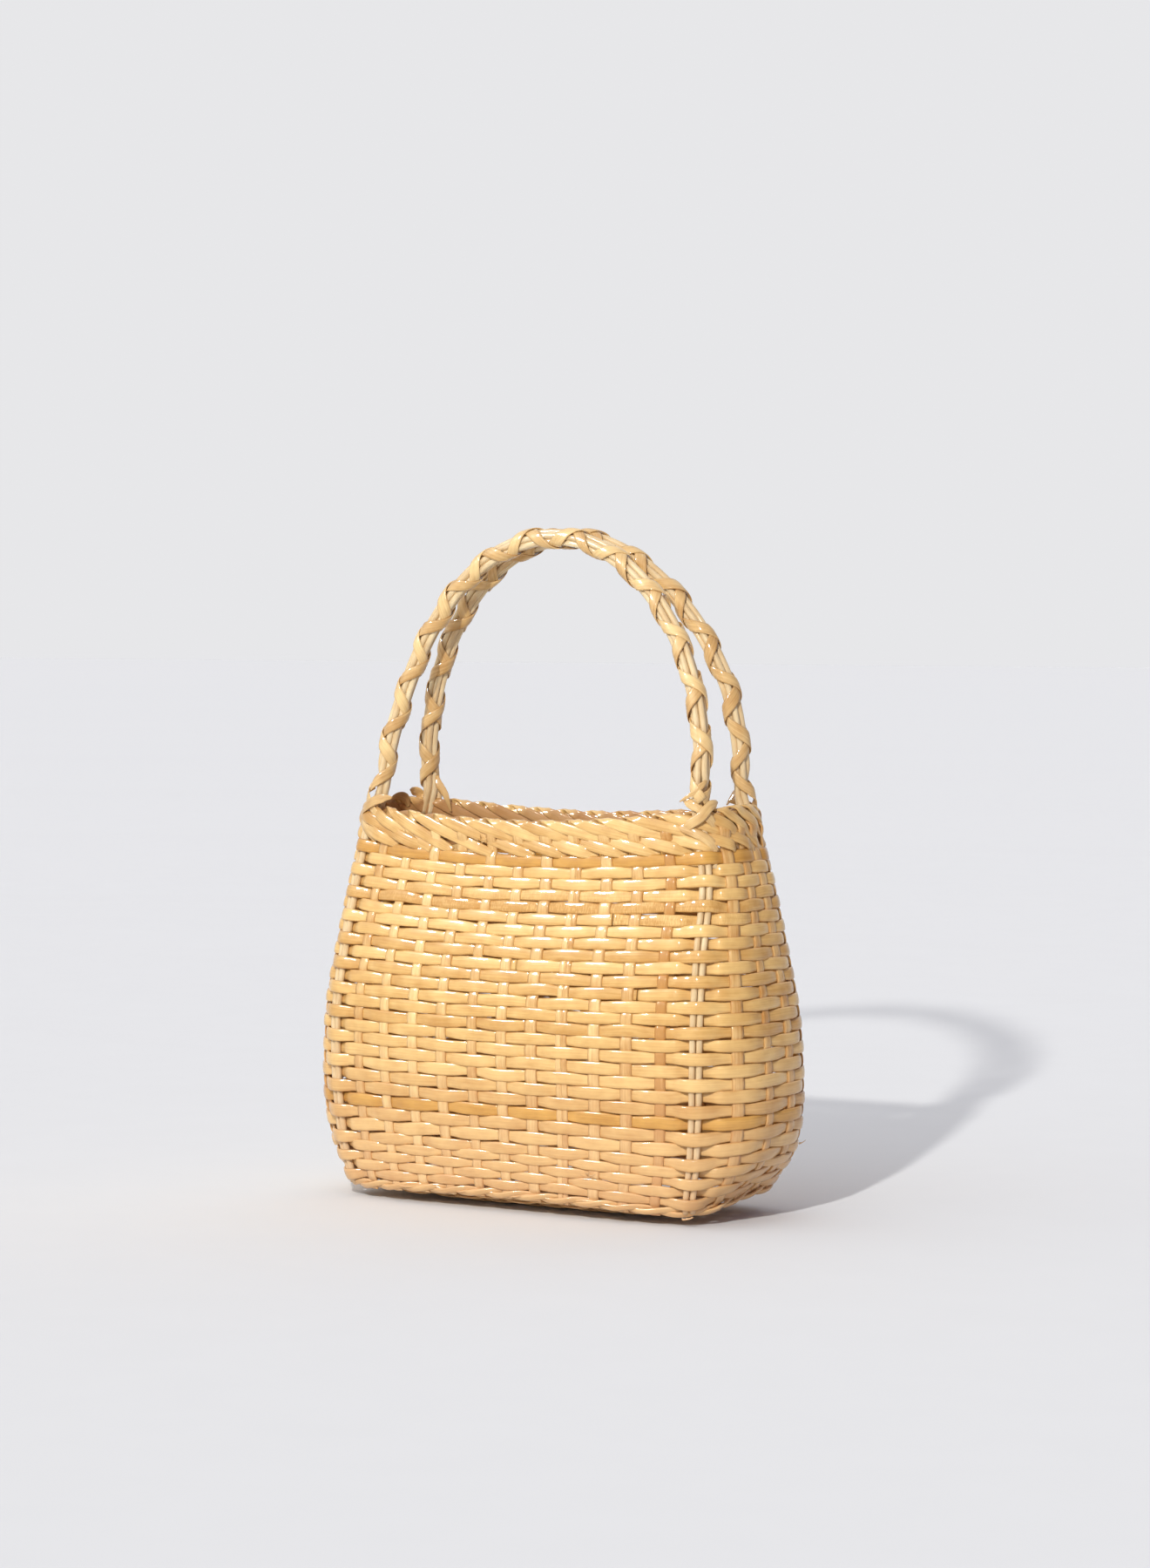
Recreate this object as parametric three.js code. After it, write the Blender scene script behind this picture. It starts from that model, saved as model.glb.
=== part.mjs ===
// Oval woven straw basket bag with a dark band, a plaited border and two cross-wrapped cane handles.
// Millimetres, +Z up, width along X, front towards -Y, origin under the middle of the base.
import * as THREE from 'three';

// Driving sizes of the body
const bodyHeight = 161;
const bellyHalfWidth = 103;
const bellyHalfDepth = 40;
const wallThickness = 3;
const rimSag = 5;
const backLift = 4.5;
const footArch = 2.4;
const meetGap = 0.3;

// Driving sizes of the base
const baseThickness = 2.6;

// Driving sizes of the border and the bands
const borderHeight = 17;
const borderThickness = 6.4;
const bandThickness = 1.3;
const bandHeight = 4.6;
const bandClearance = 0.5;
const lowerBandHeight = 39.8;

// Driving sizes of the handles
const handleRise = 104;
const handleTopSpacing = 11.4;
const handleTopShift = 2.2;
const bundleHalfWidth = 3.1;
const bundleHalfDepth = 2.9;
const rodRadius = 1.3;
const rodFootHeight = 9;
const swellLength = 16;
const wrapWidth = 5;
const wrapThickness = 0.5;
const wrapGap = 0.4;
const wrapPitch = 22;
const wrapStart = 8;

// Weave layout: stakes are counted round the body from the left front corner
const frontPitches = 12;
const sidePitches = 5;
const stakeCount = 2 * (frontPitches + sidePitches);

// Sections of the body from the foot up: height as a share of bodyHeight, half width and half depth
// as shares of the belly's, the share of a quarter outline that lies in front of the corner stake, and
// the power of the outline, which squares its corners
const sections = [
  { height: 0.025, width: 0.83, depth: 0.88, corner: 0.73, power: 4.8 },
  { height: 0.055, width: 0.855, depth: 0.905, corner: 0.715, power: 4.6 },
  { height: 0.09, width: 0.905, depth: 0.92, corner: 0.7, power: 4.2 },
  { height: 0.135, width: 0.957, depth: 0.935, corner: 0.685, power: 3.8 },
  { height: 0.2, width: 0.99, depth: 0.955, corner: 0.677, power: 3.6 },
  { height: 0.275, width: 1.0, depth: 0.975, corner: 0.676, power: 3.6 },
  { height: 0.375, width: 0.993, depth: 1.0, corner: 0.68, power: 3.6 },
  { height: 0.5, width: 0.976, depth: 0.99, corner: 0.69, power: 3.6 },
  { height: 0.65, width: 0.938, depth: 0.885, corner: 0.72, power: 3.6 },
  { height: 0.81, width: 0.894, depth: 0.73, corner: 0.768, power: 3.6 },
  { height: 0.94, width: 0.836, depth: 0.665, corner: 0.786, power: 3.6 },
  { height: 1.0, width: 0.8, depth: 0.66, corner: 0.79, power: 3.6 },
];

// Rows of the wall between its foot and the border, as shares of that height: the outer face also has
// a row at each edge of each band
const outerRows = [0, 0.035, 0.08, 0.14, 0.34, 0.48, 0.63, 0.78, 1];
const innerRows = [1, 0.7, 0.42, 0.2, 0.07, 0];

// Rings of the base from its flat underside out to the edge: size and drop shares
const baseRings = [
  { size: 0.45, drop: 1 },
  { size: 0.75, drop: 0.6 },
  { size: 1, drop: 0 },
];

// Half widths of the trough that the corner rods lie in, in pitches of the stakes
const troughFloor = 0.27;
const troughEdge = 0.36;
const cornerStakes = [
  0,
  frontPitches,
  frontPitches + sidePitches,
  2 * frontPitches + sidePitches,
];

// Finish of the cane
const colours = {
  cane: 0xe2b878,
  darkCane: 0xd28c4c,
  border: 0xdcae6c,
  rod: 0xf0dcb4,
  wrap: 0xe6c48c,
};

function caneMaterial(colour) {
  return new THREE.MeshStandardMaterial({ color: colour, roughness: 0.45, metalness: 0 });
}

// Smooth value of one column of the section table at a height share
function sectionValue(name, share) {
  const last = sections.length - 1;
  const clamped = THREE.MathUtils.clamp(share, sections[0].height, sections[last].height);
  let row = 0;
  while (row < last - 1 && sections[row + 1].height < clamped) row += 1;
  const slope = (index) => {
    const low = sections[Math.max(index - 1, 0)];
    const high = sections[Math.min(index + 1, last)];
    return (high[name] - low[name]) / (high.height - low.height);
  };
  const from = sections[row];
  const to = sections[row + 1];
  const step = to.height - from.height;
  const t = (clamped - from.height) / step;
  const ease = t * t * (3 - 2 * t);
  const bend = t * (1 - t) * step * ((1 - t) * slope(row) - t * slope(row + 1));
  return from[name] + (to[name] - from[name]) * ease + bend;
}

// Quarter of the unit outline, from the middle of the front to the middle of the side, with lengths
const quarterSteps = 96;
function quarterOutline(halfWidth, halfDepth, power) {
  const points = [];
  let length = 0;
  for (let step = 0; step <= quarterSteps; step += 1) {
    const angle = (step / quarterSteps) * (Math.PI / 2);
    const x = halfWidth * Math.pow(Math.sin(angle), 2 / power);
    const y = halfDepth * Math.pow(Math.cos(angle), 2 / power);
    if (step > 0) length += Math.hypot(x - points[step - 1].x, y - points[step - 1].y);
    points.push({ x, y, length });
  }
  return points;
}

// Place on a quarter outline at a share of its length
function alongQuarter(points, share) {
  const wanted = share * points[points.length - 1].length;
  let index = 1;
  while (index < points.length - 1 && points[index].length < wanted) index += 1;
  const from = points[index - 1];
  const to = points[index];
  const t = (wanted - from.length) / (to.length - from.length);
  return { x: from.x + (to.x - from.x) * t, y: from.y + (to.y - from.y) * t };
}

// Plan of the body's mid surface at a stake position and height share
function planPoint(stake, share) {
  const outline = quarterOutline(
    bellyHalfWidth * sectionValue('width', share),
    bellyHalfDepth * sectionValue('depth', share),
    sectionValue('power', share),
  );
  const corner = sectionValue('corner', share);
  const fromFront = ((stake - frontPitches / 2) % stakeCount + stakeCount) % stakeCount;
  const right = fromFront <= stakeCount / 2;
  const count = right ? fromFront : stakeCount - fromFront;
  const behind = count > stakeCount / 4;
  const pitches = behind ? stakeCount / 2 - count : count;
  const facePitches = frontPitches / 2;
  const quarterShare = pitches <= facePitches
    ? (pitches / facePitches) * corner
    : corner + ((pitches - facePitches) / (sidePitches / 2)) * (1 - corner);
  const place = alongQuarter(outline, quarterShare);
  return new THREE.Vector2(right ? place.x : -place.x, behind ? place.y : -place.y);
}

// Pitches from the middle of the front, either way round
function pitchesFromFront(stake) {
  const fromFront = ((stake - frontPitches / 2) % stakeCount + stakeCount) % stakeCount;
  return Math.min(fromFront, stakeCount - fromFront);
}

// Share of the way from the middle of a face, where it is zero, to its corner stake
function cornerReach(stake) {
  const count = pitchesFromFront(stake);
  const pitches = Math.min(count, stakeCount / 2 - count);
  const facePitches = frontPitches / 2;
  if (pitches <= facePitches) return pitches / facePitches;
  return (stakeCount / 4 - pitches) / (sidePitches / 2);
}

// Height of a point of the body: the rim sags between its corners, and the foot rises between its
// corners and at the back
const liftFade = 4;
function pointHeight(stake, share) {
  const angle = (stake - frontPitches / 2) * ((2 * Math.PI) / stakeCount);
  const middle = Math.pow(Math.cos(angle), 2);
  const corner = frontPitches / 2;
  const behind = THREE.MathUtils.smoothstep(pitchesFromFront(stake), corner, corner + sidePitches);
  const arch = 1 - Math.pow(cornerReach(stake), 2);
  const lift = Math.pow(1 - share, liftFade) * (backLift * behind + footArch * arch);
  return bodyHeight * share - rimSag * share * share * middle + lift;
}

function midPoint(stake, share) {
  const place = planPoint(stake, share);
  return new THREE.Vector3(place.x, place.y, pointHeight(stake, share));
}

// Point at an offset from the body's mid surface, square to it and outwards
const stakeProbe = 0.02;
const shareProbe = 0.004;
function bodyPoint(stake, share, offset) {
  const around = midPoint(stake + stakeProbe, share).sub(midPoint(stake - stakeProbe, share));
  const upwards = midPoint(stake, share + shareProbe).sub(midPoint(stake, share - shareProbe));
  const outward = new THREE.Vector3().crossVectors(around, upwards).normalize();
  return midPoint(stake, share).addScaledVector(outward, offset);
}

// Height share of a level given in millimetres
function shareOf(height) {
  return height / bodyHeight;
}

// Closed solid through equal rings of points, either run back to the first ring or capped at the ends.
// The far half of each ring is split along the other diagonal, so that a thin twisted strip keeps its
// thickness
function loft(rings, runsBack) {
  const count = rings[0].length;
  const points = rings.flat();
  const faces = [];
  const bands = runsBack ? rings.length : rings.length - 1;
  for (let ring = 0; ring < bands; ring += 1) {
    const next = (ring + 1) % rings.length;
    for (let index = 0; index < count; index += 1) {
      const beside = (index + 1) % count;
      const a = ring * count + index;
      const b = ring * count + beside;
      const c = next * count + beside;
      const d = next * count + index;
      if (index < count / 2) faces.push([a, b, c], [a, c, d]);
      else faces.push([a, b, d], [b, c, d]);
    }
  }
  if (!runsBack) {
    const lastRing = rings.length - 1;
    for (const [ring, turned] of [[0, true], [lastRing, false]]) {
      const centre = new THREE.Vector3();
      rings[ring].forEach((point) => centre.addScaledVector(point, 1 / count));
      const hub = points.push(centre) - 1;
      for (let index = 0; index < count; index += 1) {
        const a = ring * count + index;
        const b = ring * count + ((index + 1) % count);
        faces.push(turned ? [hub, b, a] : [hub, a, b]);
      }
    }
  }
  return closedGeometry(points, faces);
}

// Geometry of a closed mesh whose faces look outwards
function closedGeometry(points, faces) {
  let volume = 0;
  const cross = new THREE.Vector3();
  for (const [a, b, c] of faces) volume += points[a].dot(cross.crossVectors(points[b], points[c]));
  const ordered = volume > 0 ? faces : faces.map(([a, b, c]) => [a, c, b]);
  const geometry = new THREE.BufferGeometry();
  geometry.setFromPoints(points);
  geometry.setIndex(ordered.flat());
  geometry.computeVertexNormals();
  return geometry;
}

function piece(name, geometry, colour) {
  const mesh = new THREE.Mesh(geometry, caneMaterial(colour));
  mesh.name = name;
  return mesh;
}

// Columns round the body: every half pitch, with the edges of a trough at each corner stake
function bodyColumns() {
  const columns = [];
  for (let half = 0; half < 2 * stakeCount; half += 1) {
    const stake = half / 2;
    if (cornerStakes.includes(stake)) {
      columns.push({ stake: stake - troughEdge, inTrough: false });
      columns.push({ stake: stake - troughFloor, inTrough: true });
      columns.push({ stake: stake + troughFloor, inTrough: true });
      columns.push({ stake: stake + troughEdge, inTrough: false });
    } else {
      columns.push({ stake, inTrough: false });
    }
  }
  return columns;
}

// Corner rods lie in the trough with the meeting gap behind them
const outerFace = wallThickness / 2;
const troughDepth = wallThickness / 2;
const rodOffset = outerFace - troughDepth + meetGap + rodRadius;
const footShare = sections[0].height;
const wallTopShare = shareOf(bodyHeight - borderHeight - meetGap);

// The top band lies right under the border
const topBandHeight = bodyHeight - borderHeight - bandClearance - bandHeight / 2;

function wallShare(rowShare) {
  return THREE.MathUtils.lerp(footShare, wallTopShare, rowShare);
}

function bandEdges(middleHeight) {
  return [shareOf(middleHeight - bandHeight / 2), shareOf(middleHeight + bandHeight / 2)];
}

function outerShares() {
  return [
    ...outerRows.map(wallShare),
    ...bandEdges(lowerBandHeight),
    ...bandEdges(topBandHeight),
  ].sort((a, b) => a - b);
}

function basketWall() {
  const rings = bodyColumns().map(({ stake, inTrough }) => {
    const outer = inTrough ? outerFace - troughDepth : outerFace;
    return [
      ...outerShares().map((share) => bodyPoint(stake, share, outer)),
      ...innerRows.map((row) => bodyPoint(stake, wallShare(row), -outerFace)),
    ];
  });
  return loft(rings, true);
}

// Base that closes the foot of the wall: flat in the middle, rising to its edge
function basketBase() {
  const edgeOffset = -outerFace - meetGap;
  const ringAt = ({ size, drop }, thickness) => {
    const ring = [];
    for (let half = 0; half < 2 * stakeCount; half += 1) {
      const edge = bodyPoint(half / 2, footShare, edgeOffset);
      const height = edge.z * (1 - drop) + thickness;
      ring.push(new THREE.Vector3(edge.x * size, edge.y * size, height));
    }
    return ring;
  };
  const under = baseRings.map((row) => ringAt(row, 0));
  const upper = baseRings.map((row) => ringAt(row, baseThickness)).reverse();
  return loft([...under, ...upper], false);
}

// Section of the border: across as a share of half its thickness, up as a share of its height
const borderProfile = [
  { across: 0.6, up: 0 },
  { across: 1, up: 0.25 },
  { across: 1, up: 0.75 },
  { across: 0.45, up: 1 },
  { across: -0.45, up: 1 },
  { across: -1, up: 0.7 },
  { across: -0.6, up: 0 },
];

function borderShare(up) {
  return shareOf(bodyHeight - borderHeight * (1 - up));
}

function borderShares() {
  return borderProfile.filter(({ across, up }) => across > 0 && up < 1).map(({ up }) => borderShare(up));
}

// Plaited border on top of the wall, with the troughs of the corner rods carried through it
function rimBorder() {
  const halfThickness = borderThickness / 2;
  const rings = bodyColumns().map(({ stake, inTrough }) => borderProfile.map(({ across, up }) => {
    const offset = inTrough && across > 0 ? outerFace - troughDepth : across * halfThickness;
    return bodyPoint(stake, borderShare(up), offset);
  }));
  return loft(rings, true);
}

// Dark course laid round the wall, which runs over the corner rods
function wovenBand(middleHeight) {
  const [low, high] = bandEdges(middleHeight);
  const rings = bodyColumns().map(({ stake, inTrough }) => {
    const inner = inTrough ? rodOffset + rodRadius + meetGap : outerFace + meetGap;
    const outer = inner + bandThickness;
    return [
      bodyPoint(stake, low, inner),
      bodyPoint(stake, low, outer),
      bodyPoint(stake, high, outer),
      bodyPoint(stake, high, inner),
    ];
  });
  return loft(rings, true);
}

// Route of a handle: up one corner of the wall, over an elliptical arch and down the other corner
const archSteps = 36;
const leanPower = 1.2;
const legTurn = 0.6;
function handleRoute(leftStake, rightStake, topDepth) {
  const side = Math.sign(bodyPoint(rightStake, 1, 0).y);
  const foot = shareOf(rodFootHeight);
  const shares = [foot, ...outerShares().filter((share) => share > foot), ...borderShares(), 1];
  const leg = (stake) => shares.map((share) => {
    const point = bodyPoint(stake, share, rodOffset);
    const outward = bodyPoint(stake, share, rodOffset + 1).sub(point);
    return { point, outward, onWall: true };
  });
  const left = leg(leftStake);
  const right = leg(rightStake).reverse();
  const spring = right[0].point;
  const arch = [];
  for (let step = 1; step < archSteps; step += 1) {
    const angle = Math.PI * (1 - step / archSteps);
    const rise = Math.sin(angle);
    const x = spring.x * Math.cos(angle);
    const depth = THREE.MathUtils.lerp(spring.y, topDepth, 1 - Math.pow(1 - rise, leanPower));
    const point = new THREE.Vector3(x, depth, spring.z + handleRise * rise);
    const lean = new THREE.Vector3(Math.cos(angle), side * legTurn * (1 - rise), Math.sin(angle));
    arch.push({ point, outward: lean.normalize(), onWall: false });
  }
  const route = [...left, ...arch, ...right];
  route.forEach((step, index) => {
    const before = route[Math.max(index - 1, 0)].point;
    const after = route[Math.min(index + 1, route.length - 1)].point;
    step.along = after.clone().sub(before).normalize();
    step.across = new THREE.Vector3().crossVectors(step.along, step.outward).normalize();
    step.outward = new THREE.Vector3().crossVectors(step.across, step.along).normalize();
  });
  return route;
}

// Distance of each step from the first step of the arch
function archLengths(route) {
  const lengths = [];
  let length = 0;
  const arch = route.filter((step) => !step.onWall);
  arch.forEach((step, index) => {
    if (index > 0) length += step.point.distanceTo(arch[index - 1].point);
    lengths.push(length);
  });
  return { arch, lengths, total: length };
}

// Rods of a handle: a pair on the wall that swells to the full bundle above the border
const rodSides = 8;
function handleRods(route) {
  const { arch, lengths, total } = archLengths(route);
  const rings = route.map((step) => {
    const index = arch.indexOf(step);
    const fromRim = index < 0 ? 0 : Math.min(lengths[index], total - lengths[index]);
    const swell = THREE.MathUtils.smoothstep(fromRim, 0, swellLength);
    const halfWidth = THREE.MathUtils.lerp(2 * rodRadius, bundleHalfWidth, swell);
    const halfDepth = THREE.MathUtils.lerp(rodRadius, bundleHalfDepth, swell);
    const ring = [];
    for (let corner = 0; corner < rodSides; corner += 1) {
      const angle = ((corner + 0.5) / rodSides) * 2 * Math.PI;
      const point = step.point.clone();
      point.addScaledVector(step.across, halfWidth * Math.cos(angle));
      point.addScaledVector(step.outward, halfDepth * Math.sin(angle));
      ring.push(point);
    }
    return ring;
  });
  return loft(rings, false);
}

// Frame of the arch at a distance along it
function archFrame({ arch, lengths }, distance) {
  let index = 1;
  while (index < arch.length - 1 && lengths[index] < distance) index += 1;
  const t = (distance - lengths[index - 1]) / (lengths[index] - lengths[index - 1]);
  const blend = (name) => arch[index - 1][name].clone().lerp(arch[index][name], t);
  return { point: blend('point'), outward: blend('outward').normalize(), across: blend('across').normalize() };
}

// Flat strip wound round the rods of a handle, one way or the other, in the inner or outer layer
const wrapStepsPerTurn = 9;
const halfWrap = wrapWidth / 2;
function handleWrap(route, turnWay, layer) {
  const path = archLengths(route);
  const chordDip = 1 / Math.cos(Math.PI / wrapStepsPerTurn);
  const innerRadius = (bundleHalfWidth + wrapGap) * chordDip;
  const edgeRadius = Math.hypot(innerRadius + wrapThickness, halfWrap * Math.SQRT1_2);
  const radius = layer === 0 ? innerRadius : (edgeRadius + wrapGap / 2) * chordDip;
  const length = path.total - 2 * wrapStart;
  const turns = Math.round(length / wrapPitch);
  const steps = turns * wrapStepsPerTurn;
  const slant = Math.atan2(length / turns, 2 * Math.PI * radius);
  const rings = [];
  for (let step = 0; step <= steps; step += 1) {
    const distance = wrapStart + (length * step) / steps;
    const turn = turnWay * (step / wrapStepsPerTurn) * 2 * Math.PI;
    const frame = archFrame(path, distance);
    const ahead = new THREE.Vector3().crossVectors(frame.outward, frame.across).normalize();
    const radial = frame.outward.clone().multiplyScalar(Math.cos(turn));
    radial.addScaledVector(frame.across, Math.sin(turn));
    const around = new THREE.Vector3().crossVectors(ahead, radial).multiplyScalar(turnWay);
    const wide = ahead.clone().multiplyScalar(Math.cos(slant)).addScaledVector(around, -Math.sin(slant));
    const at = (reach, half) => frame.point.clone().addScaledVector(radial, reach).addScaledVector(wide, half);
    rings.push([
      at(radius, -halfWrap),
      at(radius, halfWrap),
      at(radius + wrapThickness, halfWrap),
      at(radius + wrapThickness, -halfWrap),
    ]);
  }
  return loft(rings, false);
}

// The bag
const bag = new THREE.Group();
bag.add(piece('basket_wall', basketWall(), colours.cane));
bag.add(piece('basket_base', basketBase(), colours.cane));
bag.add(piece('rim_border', rimBorder(), colours.border));
bag.add(piece('top_band', wovenBand(topBandHeight), colours.darkCane));
bag.add(piece('lower_band', wovenBand(lowerBandHeight), colours.darkCane));

const handles = [
  { side: 'front', left: cornerStakes[0], right: cornerStakes[1], topSide: -1 },
  { side: 'rear', left: cornerStakes[3], right: cornerStakes[2], topSide: 1 },
];
for (const { side, left, right, topSide } of handles) {
  const route = handleRoute(left, right, handleTopShift + (topSide * handleTopSpacing) / 2);
  bag.add(piece(`${side}_handle_rods`, handleRods(route), colours.rod));
  bag.add(piece(`${side}_handle_wrap_inner`, handleWrap(route, 1, 0), colours.wrap));
  bag.add(piece(`${side}_handle_wrap_outer`, handleWrap(route, -1, 1), colours.wrap));
}

export default bag;
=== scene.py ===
"""Looks of the straw basket bag: every woven strand of its wall, base, border and handles."""

import math

import bpy
import numpy as np
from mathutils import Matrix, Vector


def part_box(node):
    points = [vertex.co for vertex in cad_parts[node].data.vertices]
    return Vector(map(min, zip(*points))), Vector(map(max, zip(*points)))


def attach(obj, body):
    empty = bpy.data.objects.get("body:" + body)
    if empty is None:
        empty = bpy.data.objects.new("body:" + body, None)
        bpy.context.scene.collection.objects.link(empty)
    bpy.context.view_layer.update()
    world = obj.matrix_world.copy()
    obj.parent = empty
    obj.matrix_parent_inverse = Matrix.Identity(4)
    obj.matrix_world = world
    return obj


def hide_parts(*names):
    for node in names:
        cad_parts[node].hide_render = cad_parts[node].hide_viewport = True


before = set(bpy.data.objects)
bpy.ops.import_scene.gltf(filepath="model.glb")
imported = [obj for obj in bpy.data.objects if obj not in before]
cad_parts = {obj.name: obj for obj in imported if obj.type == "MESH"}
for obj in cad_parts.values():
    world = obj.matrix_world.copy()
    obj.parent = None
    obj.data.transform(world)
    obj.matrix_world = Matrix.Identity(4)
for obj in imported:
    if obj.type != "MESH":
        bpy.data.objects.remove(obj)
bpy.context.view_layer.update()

MM = 0.001

# Sizes of the body, in metres, from the CAD parts in model.glb where they show them
WALL_LOW, WALL_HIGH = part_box("basket_wall")
WALL_THICKNESS = 3 * MM
BELLY_HALF_WIDTH = (WALL_HIGH.x - WALL_LOW.x - WALL_THICKNESS) / 2
BELLY_HALF_DEPTH = (WALL_HIGH.y - WALL_LOW.y - WALL_THICKNESS) / 2
BODY_HEIGHT = 161 * MM
RIM_SAG = 5 * MM
BACK_LIFT = 4.5 * MM
FOOT_ARCH = 2.4 * MM

# Layout of the weave: stakes are counted round the body from the left front corner
FRONT_PITCHES = 12
SIDE_PITCHES = 5
STAKES = 2 * (FRONT_PITCHES + SIDE_PITCHES)
LEFT_FRONT = 0
RIGHT_FRONT = FRONT_PITCHES
RIGHT_BACK = RIGHT_FRONT + SIDE_PITCHES
LEFT_BACK = RIGHT_BACK + FRONT_PITCHES
CORNER_STAKES = (LEFT_FRONT, RIGHT_FRONT, RIGHT_BACK, LEFT_BACK)

# Sections of the body from the foot up: height share, half width share, half depth share, corner share,
# power of the outline
SECTIONS = np.array([
    (0.025, 0.83, 0.88, 0.73, 4.8),
    (0.055, 0.855, 0.905, 0.715, 4.6),
    (0.09, 0.905, 0.92, 0.7, 4.2),
    (0.135, 0.957, 0.935, 0.685, 3.8),
    (0.2, 0.99, 0.955, 0.677, 3.6),
    (0.275, 1.0, 0.975, 0.676, 3.6),
    (0.375, 0.993, 1.0, 0.68, 3.6),
    (0.5, 0.976, 0.99, 0.69, 3.6),
    (0.65, 0.938, 0.885, 0.72, 3.6),
    (0.81, 0.894, 0.73, 0.768, 3.6),
    (0.94, 0.836, 0.665, 0.786, 3.6),
    (1.0, 0.8, 0.66, 0.79, 3.6),
])

# Courses of the wall, counted down from the dark band: course number and height share
COURSE_LEVELS = np.array([
    (0, 0.877),
    (8, 0.646),
    (16, 0.405),
    (24, 0.153),
    (28, 0.058),
    (30, 0.012),
])
COURSES = 28
FOOT_COURSE = 29.1
LOWER_BAND_COURSE = 21

random = np.random.default_rng(11)


# Surface of the body

def section_value(column, share):
    """Smooth value of one column of the section table."""
    heights = SECTIONS[:, 0]
    values = SECTIONS[:, column]
    share = np.clip(share, heights[0], heights[-1])
    slopes = np.empty(len(heights))
    slopes[1:-1] = (values[2:] - values[:-2]) / (heights[2:] - heights[:-2])
    slopes[0] = (values[1] - values[0]) / (heights[1] - heights[0])
    slopes[-1] = (values[-1] - values[-2]) / (heights[-1] - heights[-2])
    row = np.clip(np.searchsorted(heights, share, side="left") - 1, 0, len(heights) - 2)
    step = heights[row + 1] - heights[row]
    t = (share - heights[row]) / step
    ease = t * t * (3 - 2 * t)
    bend = t * (1 - t) * step * ((1 - t) * slopes[row] - t * slopes[row + 1])
    return values[row] + (values[row + 1] - values[row]) * ease + bend


def plan_points(stake, share):
    """Plan of the mid surface for many stake positions at one height share."""
    angle = np.linspace(0, math.pi / 2, 193)
    power = section_value(4, share)
    x = BELLY_HALF_WIDTH * section_value(1, share) * np.sin(angle) ** (2 / power)
    y = BELLY_HALF_DEPTH * section_value(2, share) * np.cos(angle) ** (2 / power)
    length = np.concatenate([[0], np.cumsum(np.hypot(np.diff(x), np.diff(y)))])
    corner = section_value(3, share)
    from_front = np.mod(stake - FRONT_PITCHES / 2, STAKES)
    right = from_front <= STAKES / 2
    count = np.where(right, from_front, STAKES - from_front)
    behind = count > STAKES / 4
    pitches = np.where(behind, STAKES / 2 - count, count)
    face = FRONT_PITCHES / 2
    on_side = corner + (pitches - face) / (SIDE_PITCHES / 2) * (1 - corner)
    reach = np.where(pitches <= face, pitches / face * corner, on_side) * length[-1]
    plan_x = np.interp(reach, length, x) * np.where(right, 1, -1)
    plan_y = np.interp(reach, length, y) * np.where(behind, 1, -1)
    return plan_x, plan_y


def smooth(value):
    """Smooth step from 0 to 1."""
    value = np.clip(value, 0, 1)
    return value * value * (3 - 2 * value)


def pitches_from_front(stake):
    """Pitches from the middle of the front, whichever way round is shorter."""
    from_front = np.mod(stake - FRONT_PITCHES / 2, STAKES)
    return np.minimum(from_front, STAKES - from_front)


def corner_reach(stake):
    """Share of the way from the middle of a face, where it is zero, to its corner stake."""
    count = pitches_from_front(stake)
    pitches = np.minimum(count, STAKES / 2 - count)
    face = FRONT_PITCHES / 2
    return np.where(pitches <= face, pitches / face, (STAKES / 4 - pitches) / (SIDE_PITCHES / 2))


def point_height(stake, share):
    """Height of a point: the rim sags and the foot rises between the corners, the foot more at the back."""
    angle = (stake - FRONT_PITCHES / 2) * 2 * math.pi / STAKES
    sag = RIM_SAG * share * share * np.cos(angle) ** 2
    arch = FOOT_ARCH * (1 - corner_reach(stake) ** 2)
    behind = smooth((pitches_from_front(stake) - FRONT_PITCHES / 2) / SIDE_PITCHES)
    lift = (1 - share) ** 4 * (BACK_LIFT * behind + arch)
    return BODY_HEIGHT * share - sag + lift


GRID_PER_STAKE = 20
GRID_LEVELS = 261
GRID_LOW = -0.02
GRID_HIGH = 1.06


def surface_grid():
    """Positions of the mid surface and their outward, sideways and upward directions on a fine grid."""
    stakes = np.arange(-GRID_PER_STAKE, (STAKES + 1) * GRID_PER_STAKE + 1) / GRID_PER_STAKE
    levels = np.linspace(GRID_LOW, GRID_HIGH, GRID_LEVELS)
    places = np.empty((GRID_LEVELS, len(stakes), 3))
    for row, level in enumerate(levels):
        x, y = plan_points(stakes, level)
        places[row] = np.stack([x, y, point_height(stakes, level)], axis=1)
    sideways = np.gradient(places, axis=1)
    upwards = np.gradient(places, axis=0)
    sideways /= np.linalg.norm(sideways, axis=2, keepdims=True)
    upwards /= np.linalg.norm(upwards, axis=2, keepdims=True)
    outward = np.cross(sideways, upwards)
    outward /= np.linalg.norm(outward, axis=2, keepdims=True)
    return np.concatenate([places, outward, sideways, upwards], axis=2)


GRID = surface_grid()


def surface(stake, share):
    """Place, outward, sideways and upward direction of the mid surface."""
    stake, share = np.broadcast_arrays(np.asarray(stake, float), np.asarray(share, float))
    column = (np.mod(stake, STAKES) + 1) * GRID_PER_STAKE
    row = (share - GRID_LOW) / (GRID_HIGH - GRID_LOW) * (GRID_LEVELS - 1)
    row = np.clip(row, 0, GRID_LEVELS - 1.001)
    c0 = column.astype(int)
    r0 = row.astype(int)
    fc = (column - c0)[..., None]
    fr = (row - r0)[..., None]
    low = GRID[r0, c0] * (1 - fc) + GRID[r0, c0 + 1] * fc
    high = GRID[r0 + 1, c0] * (1 - fc) + GRID[r0 + 1, c0 + 1] * fc
    mixed = low * (1 - fr) + high * fr
    place, outward, sideways, upwards = np.split(mixed, 4, axis=-1)
    return place, unit(outward), unit(sideways), unit(upwards)


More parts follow.
